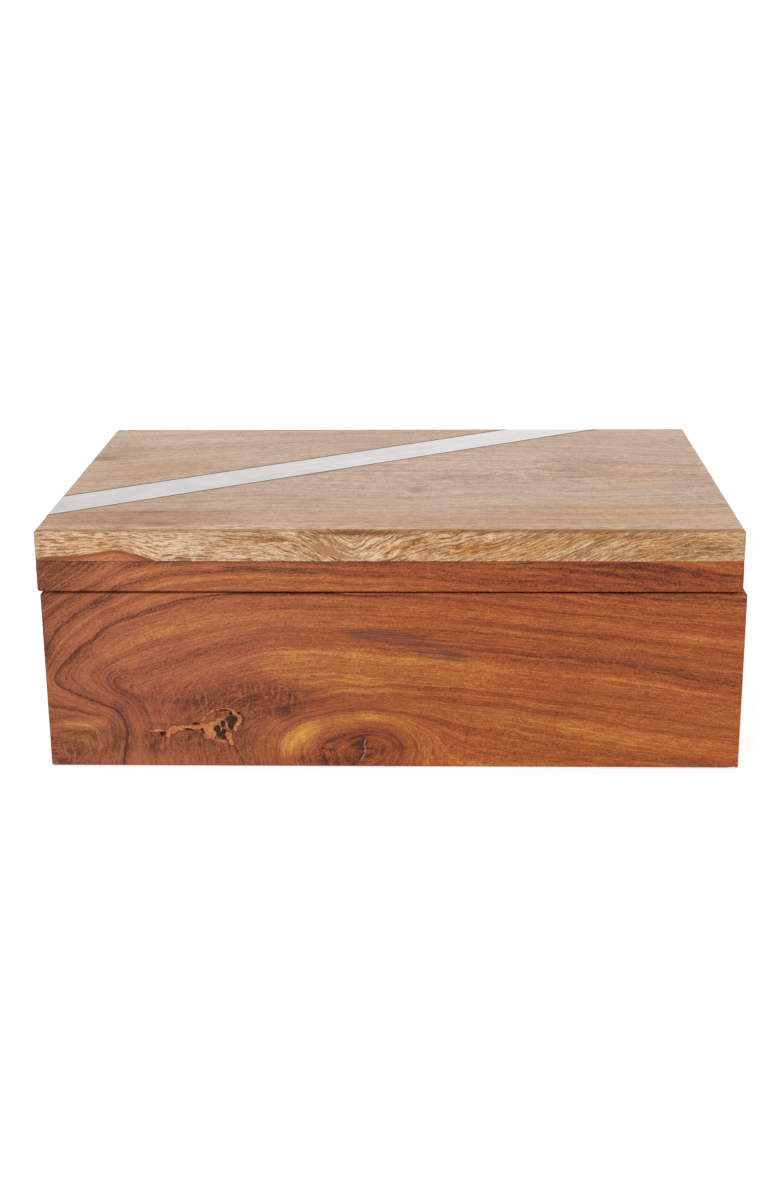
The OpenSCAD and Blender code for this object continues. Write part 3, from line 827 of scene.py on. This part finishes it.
def across_strip(g, p):
    """The distance from the strip's middle line."""
    x, y, _ = g.parts(p)
    from_middle = g.total(x, -LID_MIDDLE_X)
    return g.total(g.times(from_middle, -math.sin(INLAY_ANGLE)), g.times(y, math.cos(INLAY_ANGLE)),
                   -INLAY_OFFSET)


def warmer(g, colour, orange):
    """Turns a pale wood colour towards orange, or towards grey where orange is negative."""
    return scaled(g, colour, 1.0, g.total(1.0, g.times(orange, -0.12)), g.total(1.0, g.times(orange, -0.30)))


def lid_wood():
    """The lid's board: pinkish tan heartwood on top, and pale fibrous sapwood along its front edge."""
    g = Graph("lid_panel_wood")
    p = g.position()
    z = g.parts(p)[2]
    grain = g.attribute("grain")
    sap = g.attribute("sapwood", "Fac")
    change, orange, on_edge = g.parts(g.attribute("paint"))
    ring = wavy(g, grain, p, 4.0)
    along, up = g.parts(grain)[1:]
    bands = g.joined(g.times(ring, 0.16), g.times(along, 0.004), g.times(up, 0.004))
    bands = g.noise(bands, detail=4, roughness=0.65)
    lines, streak, fibre, stipple, pores = fibres(g, grain)
    clouds = g.noise(scaled(g, p, 0.02, 0.04, 0.04), detail=3)
    heart_tone = g.total(0.52, change, g.times(bands, 0.4), g.times(lines, 0.8), g.times(streak, 1.1),
                         g.times(fibre, 1.3), g.times(stipple, 1.8), g.times(clouds, 0.3))
    hue = g.noise(g.stretched(grain, 0.11, 0.006), detail=3)
    heart = warmer(g, g.ramp(heart_tone, LIDWOOD), g.total(orange, g.times(hue, 1.6), g.times(clouds, 1.4)))
    red_heart = g.ramp(g.total(heart_tone, 0.15, g.times(streak, 1.6)), HEARTWOOD)
    # On the front edge the red heartwood gets a little painted sheen, a veil of reflected light
    heart = g.mix(on_edge, heart, g.mix(0.16, red_heart, PAINTED_SHEEN_TINT))
    heart = g.mix(g.times(pores, 0.45), heart, LID_PORE)
    ragged = g.times(g.noise(g.stretched(grain, 0.5, 0.05), detail=3), 3.0)
    inside_sap = g.total(sap, ragged)
    colour = g.mix(g.grade(inside_sap, -0.6, 0.8), heart, pale_edge(g, p, grain, change, orange, stipple))
    boundary = g.grade(g.math("ABSOLUTE", g.total(inside_sap, 0.6)), 1.5, 0.2, 0.0, 0.65)
    colour = g.mix(g.times(boundary, on_edge), colour, SAP_LINE)
    stained = g.times(strip_stain(g, p), g.grade(z, LID_TOP - 3.0, LID_TOP - 2.4))
    colour = g.mix(stained, colour, STRIP_STAIN)
    arris = g.grade(z, LID_TOP - 1.6, LID_TOP - 0.6, 0.0, 0.42)
    colour = g.mix(g.times(on_edge, arris), colour, ARRIS_BROWN)
    return oiled(g, colour, 0.36, streak, fibre, pores)


def pale_edge(g, p, grain, change, orange, stipple):
    """The sapwood of the lid's front edge: short dark strokes along the rings, and one patch of filler."""
    fan = g.noise(g.stretched(grain, 0.95, 0.08, 0.10), detail=3, roughness=0.7)
    fine = g.noise(g.stretched(grain, 2.6, 0.30, 0.36), detail=2, roughness=0.6)
    strokes = g.grade(g.noise(g.stretched(grain, 1.55, 0.15, 0.20), detail=2, roughness=0.6), 0.04, 0.11)
    hue = g.noise(g.stretched(grain, 0.30, 0.03, 0.05), detail=2)
    calmer = g.grade(g.parts(p)[0], 85, 125, 1.0, 0.6)
    strokes = g.times(strokes, calmer)
    tone = g.total(0.73, change, g.times(g.times(fan, 1.5), calmer), g.times(fine, 1.7),
                   g.times(stipple, 1.4), g.times(strokes, -0.12))
    pale = warmer(g, g.ramp(tone, SAPWOOD), g.total(orange, g.times(hue, 2.5)))
    pale = g.mix(g.times(strokes, 0.70), pale, SHORT_STROKE)
    shaken = g.vector_math("ADD", p, g.joined(0.0, 0.0, g.times(g.noise(p, 0.35, 3), 2.0)))
    for points, half_width in EDGE_STROKES:
        stroke = g.grade(chain(g, shaken, points, half_width), 1.6, 0.6, 0.0, 0.7)
        pale = g.mix(stroke, pale, LONG_STROKE)
    browner = g.grade(g.parts(p)[0], -30, 30)
    pale = scaled(g, pale, g.grade(browner, 0, 1, 1.0, 0.93), g.grade(browner, 0, 1, 1.0, 0.87),
                  g.grade(browner, 0, 1, 1.0, 0.77))
    patch = g.total(node_ellipse(g, p, *EDGE_FILLER), g.times(g.noise(p, 0.5, 3), 0.8))
    return g.mix(g.grade(patch, 1.02, 0.88), pale, EDGE_FILLER_BROWN)


def strip_stain(g, p):
    """How dark the wood is along the strip: a thin uneven line, with a burnt spot on the front side."""
    x = g.parts(p)[0]
    offset = across_strip(g, p)
    front_side = g.grade(offset, 1, -1)
    uneven = g.grade(g.noise(p, 0.22, 4, 0.6), -0.05, 0.2, 0.0, 0.8)
    burnt = g.times(g.grade(g.math("ABSOLUTE", g.total(x, -BURNT_X)), 14, 3),
                    g.grade(g.noise(p, 0.35, 3), -0.25, 0.10, 0.0, 1.2))
    width = g.total(0.95, g.times(g.total(uneven, burnt), g.total(0.4, front_side)))
    from_strip = g.math("SUBTRACT", g.math("ABSOLUTE", offset), STAIN_START)
    return g.grade(from_strip, g.total(width, 0.5), g.times(width, 0.5), 0.0, 0.85)


def pale_wood(name):
    """The plain pale wood of the bottom panel and the splines, from the object's own coordinates."""
    g = Graph(name)
    p = g.position()
    x, y, z = g.parts(p)
    bend = g.noise(scaled(g, p, 0.006, 0.016, 0.016), detail=2)
    ring = g.total(y, g.times(bend, 46.0))
    grain = g.joined(ring, x, z)
    bands = g.noise(g.joined(g.times(ring, 0.09), g.times(x, 0.002), 0.0), detail=4, roughness=0.6)
    lines, streak, fibre, stipple, pores = fibres(g, grain)
    tone = g.total(0.62, g.times(bands, 0.45), g.times(lines, 0.5), g.times(streak, 0.6), g.times(fibre, 0.6),
                   g.times(stipple, 0.5))
    colour = g.mix(g.times(pores, 0.35), g.ramp(tone, SAPWOOD), PALE_PORE)
    bump = g.math("SUBTRACT", g.times(fibre, 0.5), pores)
    return g.finish(colour, g.total(0.5, g.times(streak, 0.1)), bump, 0.03)


# ---- Metal, filler, felt ----

def brushed_metal():
    """The inlaid strip: satin metal, brushed along its length, with a few long scratches, and a painted
    reflection that lightens it towards its right-hand end.
    """
    g = Graph("inlay_brushed_metal")
    along_strip = g.node("ShaderNodeMapping", {
        "Vector": g.position(), "Rotation": (0, 0, -INLAY_ANGLE)}, vector_type="POINT").outputs[0]
    brushing = g.noise(scaled(g, along_strip, 0.035, 6.0, 1.0), detail=4, roughness=0.6)
    clouds = g.noise(along_strip, 0.05, 4, 0.6)
    streaks = g.noise(scaled(g, along_strip, 0.015, 0.30, 1.0), detail=3)
    scratches = g.noise(scaled(g, along_strip, 0.02, 2.4, 1.0), detail=1)
    scratches = g.grade(scratches, 0.20, 0.24)
    # Painted reflection: the strip's colour grows lighter towards its right-hand end, as if more white light
    # were reflected there
    to_right = g.grade(g.parts(along_strip)[0], -150, 120, -0.22, 0.12)
    edges = g.times(g.grade(g.math("ABSOLUTE", across_strip(g, g.position())), 10.5, 12.5), 0.12)
    tone = g.total(0.5, to_right, edges, g.times(brushing, 0.8), g.times(clouds, 0.9), g.times(streaks, 0.8),
                   g.times(scratches, -0.25))
    colour = g.ramp(tone, METAL)
    roughness = g.total(0.40, g.times(brushing, 0.25), g.times(clouds, 0.1))
    return g.finish(colour, roughness, brushing, 0.02, Metallic=1.0)


def filler():
    """The dark brown resin that the strip is bedded in."""
    g = Graph("dark_filler")
    p = g.position()
    tone = g.total(0.5, g.noise(p, 0.5, 4, 0.6))
    colour = g.ramp(tone, RESIN)
    return g.finish(colour, g.total(0.6, g.times(g.noise(p, 1.5, 2), 0.2)), g.noise(p, 2.0, 3), 0.08,
                    Specular_IOR_Level=0.0)


def brass(name):
    """Satin brass, a little tarnished, with fine scratches."""
    g = Graph(name)
    p = g.position()
    tarnish = g.noise(p, 0.25, 4, 0.6)
    rubbed = g.noise(scaled(g, p, 0.15, 5.0, 5.0), detail=3)
    colour = g.ramp(g.total(0.5, tarnish, g.times(rubbed, 0.3)), BRASS)
    roughness = g.total(0.33, g.times(tarnish, 0.25), g.times(rubbed, 0.12))
    return g.finish(colour, roughness, rubbed, 0.01, Metallic=1.0)


def felt_cloth():
    """Dark green wool felt: matted fibres with a soft sheen."""
    g = Graph("felt_cloth")
    p = g.position()
    fibres = g.noise(p, 2.6, 6, 0.75, 1.5)
    mottle = g.noise(p, 0.12, 3)
    colour = g.ramp(g.total(0.5, g.times(fibres, 0.9), g.times(mottle, 0.5)), FELT)
    return g.finish(colour, 0.95, fibres, 0.25, Sheen_Weight=0.5, Sheen_Roughness=0.6)


# ---- Pieces ----

def carve_front(bm):
    """Sinks the holes of the bark inclusion and knocks the lower right corner off."""
    (low_x, high_x), (low_z, high_z) = np.array(INCLUSION_X) * MM, np.array(INCLUSION_Z) * MM

    def near_inclusion(c):
        return c.y < (FRONT_Y + 0.1) * MM and low_x < c.x < high_x and low_z < c.z < high_z

    step = 0.45 * MM
    cut_along(bm, 0, np.arange(low_x, high_x, step), near_inclusion)
    cut_along(bm, 2, np.arange(low_z, high_z, step), near_inclusion)
    points = points_of(bm)
    ragged = [0.5 * noise.noise(Vector(q) * 0.6) + 0.2 * noise.noise(Vector(q) * 1.9) for q in points]
    near = points[:, 1] < FRONT_Y + 0.1
    sunk = smooth(1.1, 0.7, blob_distance(points, HOLE_BLOBS) + 0.6 * np.array(ragged)) * HOLE_DEPTH * near
    chip = smooth(147, 152, points[:, 0]) * smooth(1.2, 0.0, points[:, 2]) * 0.5
    for v, down, up in zip(bm.verts, sunk, chip):
        v.co.y += down * MM
        v.co.z += up * MM


def refine_edge(bm):
    """Finer rows along the lid's front edge, for its strokes and patches."""
    cut_along(bm, 1, (FRONT_Y + np.array([0.4, 0.9, 1.5, 2.5])) * MM)
    rows = np.arange(PANEL_Z + 0.7, LID_TOP, 0.7) * MM
    cut_along(bm, 2, rows, lambda c: c.y < (FRONT_Y + 1.8) * MM)


front_wall_wood = front_wood("front_wall_wood", marks=True)
front_rail_wood = front_wood("front_rail_wood", marks=False)
side_wood = plain_heartwood("side_wood")
panel_wood = lid_wood()

FIGURED_PITCH, PANEL_PITCH, PLAIN_PITCH = 1.5, 1.75, 3.0

front, front_points = board(
    "front_wall", FIGURED_PITCH, front_grain, front_wall_wood, "case", carve_front)
write_attribute(front, "paint", front_paint(front_points))
write_attribute(front, "marks", front_marks(front_points))
rail, rail_points = board(
    "lid_front_rail", FIGURED_PITCH, front_grain, front_rail_wood, "lid")
write_attribute(rail, "paint", front_paint(rail_points))
for side, grain in (("right", right_grain), ("left", left_grain), ("back", back_grain)):
    board(side + "_wall", PLAIN_PITCH, grain, side_wood, "case")
    board(f"lid_{side}_rail", PLAIN_PITCH, grain, side_wood, "lid")
panel, panel_points = board(
    "lid_panel", PANEL_PITCH, panel_grain, panel_wood, "lid", refine_edge)
write_attribute(panel, "sapwood", panel_sapwood(panel_points))
write_attribute(panel, "paint", lid_paint(panel_points))


def repaint(node, material):
    """Gives a CAD node its finished material."""
    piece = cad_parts[node]
    piece.data.materials.clear()
    piece.data.materials.append(material)


inner_wood = pale_wood("pale_inner_wood")
repaint("bottom_panel", inner_wood)
repaint("case_corner_splines", inner_wood)
repaint("lid_corner_splines", inner_wood)
repaint("inlay_strip", brushed_metal())
repaint("inlay_filler", filler())
hinge_brass = brass("hinge_brass")
for side in ("left", "right"):
    for part in ("case_leaf", "lid_leaf", "pin"):
        repaint(f"{side}_hinge_{part}", hinge_brass)
screw_brass = brass("screw_brass")
repaint("case_leaf_screws", screw_brass)
repaint("lid_leaf_screws", screw_brass)


def make_felt():
    bm = dense_copy("base_felt", PLAIN_PITCH)
    low, high = mm_box("base_felt")
    middle = (low[2] + high[2]) / 2
    for v in bm.verts:
        lump = noise.noise(v.co * 130) * 0.10
        if v.co.z / MM < middle:
            v.co.z = (low[2] + 0.08 + 0.06 * lump) * MM
    piece = finish_mesh(bm, "felt_pad")
    piece.data.materials.append(felt_cloth())
    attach(piece, "case")
    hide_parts("base_felt")


make_felt()

# ---- Camera, floor and light ----

scene = bpy.context.scene
scene.view_settings.view_transform = "Standard"

CAMERA_AT = Vector((0.0212, -0.8218, 0.3072))
CAMERA_YAW = math.radians(1.748)
CAMERA_PITCH = math.radians(17.604)
CAMERA_ROLL = math.radians(-0.452)
LENS_MM = 52.802
SENSOR_MM = 36.0

camera_data = bpy.data.cameras.new("camera")
camera_data.sensor_width = SENSOR_MM
camera_data.lens = LENS_MM
camera = bpy.data.objects.new("camera", camera_data)
scene.collection.objects.link(camera)
camera.location = CAMERA_AT
level_right = Vector((math.cos(CAMERA_YAW), math.sin(CAMERA_YAW), 0))
level_forward = Vector((-math.sin(CAMERA_YAW), math.cos(CAMERA_YAW), 0))
forward = math.cos(CAMERA_PITCH) * level_forward - math.sin(CAMERA_PITCH) * Vector((0, 0, 1))
level_up = level_right.cross(forward)
right = math.cos(CAMERA_ROLL) * level_right + math.sin(CAMERA_ROLL) * level_up
up = right.cross(forward)
turn = np.array([right, up, -forward]).T
camera.rotation_euler = Matrix(turn.tolist()).to_euler()
scene.camera = camera


def floor_material():
    """Near-white paper with a little glow of its own, as on a light table."""
    g = Graph("pale_floor")
    return g.finish((0.62, 0.62, 0.62), 0.8, Emission_Color=(1, 1, 1, 1), Emission_Strength=0.5)


FLOOR_SIZE = 60
FLOOR_GAP = 0.0002
bpy.ops.mesh.primitive_plane_add(size=FLOOR_SIZE, location=(0, 0, -FLOOR_GAP))
floor = bpy.context.object
floor.name = "floor"
floor.data.materials.append(floor_material())

LIT_POINT = Vector((0, 0, 0.05))

# An even white tent, a little brighter to the right
WORLD_LEFT, WORLD_RIGHT = 1.0, 1.2
world = bpy.data.worlds.new("studio")
world.use_nodes = True
tree = world.node_tree
direction = tree.nodes.new("ShaderNodeTexCoord")
split = tree.nodes.new("ShaderNodeSeparateXYZ")
strength = tree.nodes.new("ShaderNodeMapRange")
tree.links.new(direction.outputs["Generated"], split.inputs[0])
tree.links.new(split.outputs[0], strength.inputs["Value"])
strength.inputs["From Min"].default_value = -0.5
strength.inputs["From Max"].default_value = 0.5
strength.inputs["To Min"].default_value = WORLD_LEFT
strength.inputs["To Max"].default_value = WORLD_RIGHT
tree.links.new(strength.outputs[0], tree.nodes["Background"].inputs[1])
tree.nodes["Background"].inputs[0].default_value = (1, 1, 1, 1)
scene.world = world


def area_light(name, at, size, power):
    data = bpy.data.lights.new(name, "AREA")
    data.size = size
    data.energy = power
    light = bpy.data.objects.new(name, data)
    scene.collection.objects.link(light)
    light.location = at
    light.rotation_euler = (LIT_POINT - Vector(at)).to_track_quat("-Z", "Y").to_euler()


area_light("key", (-0.7, -1.2, 1.3), 1.0, 8)
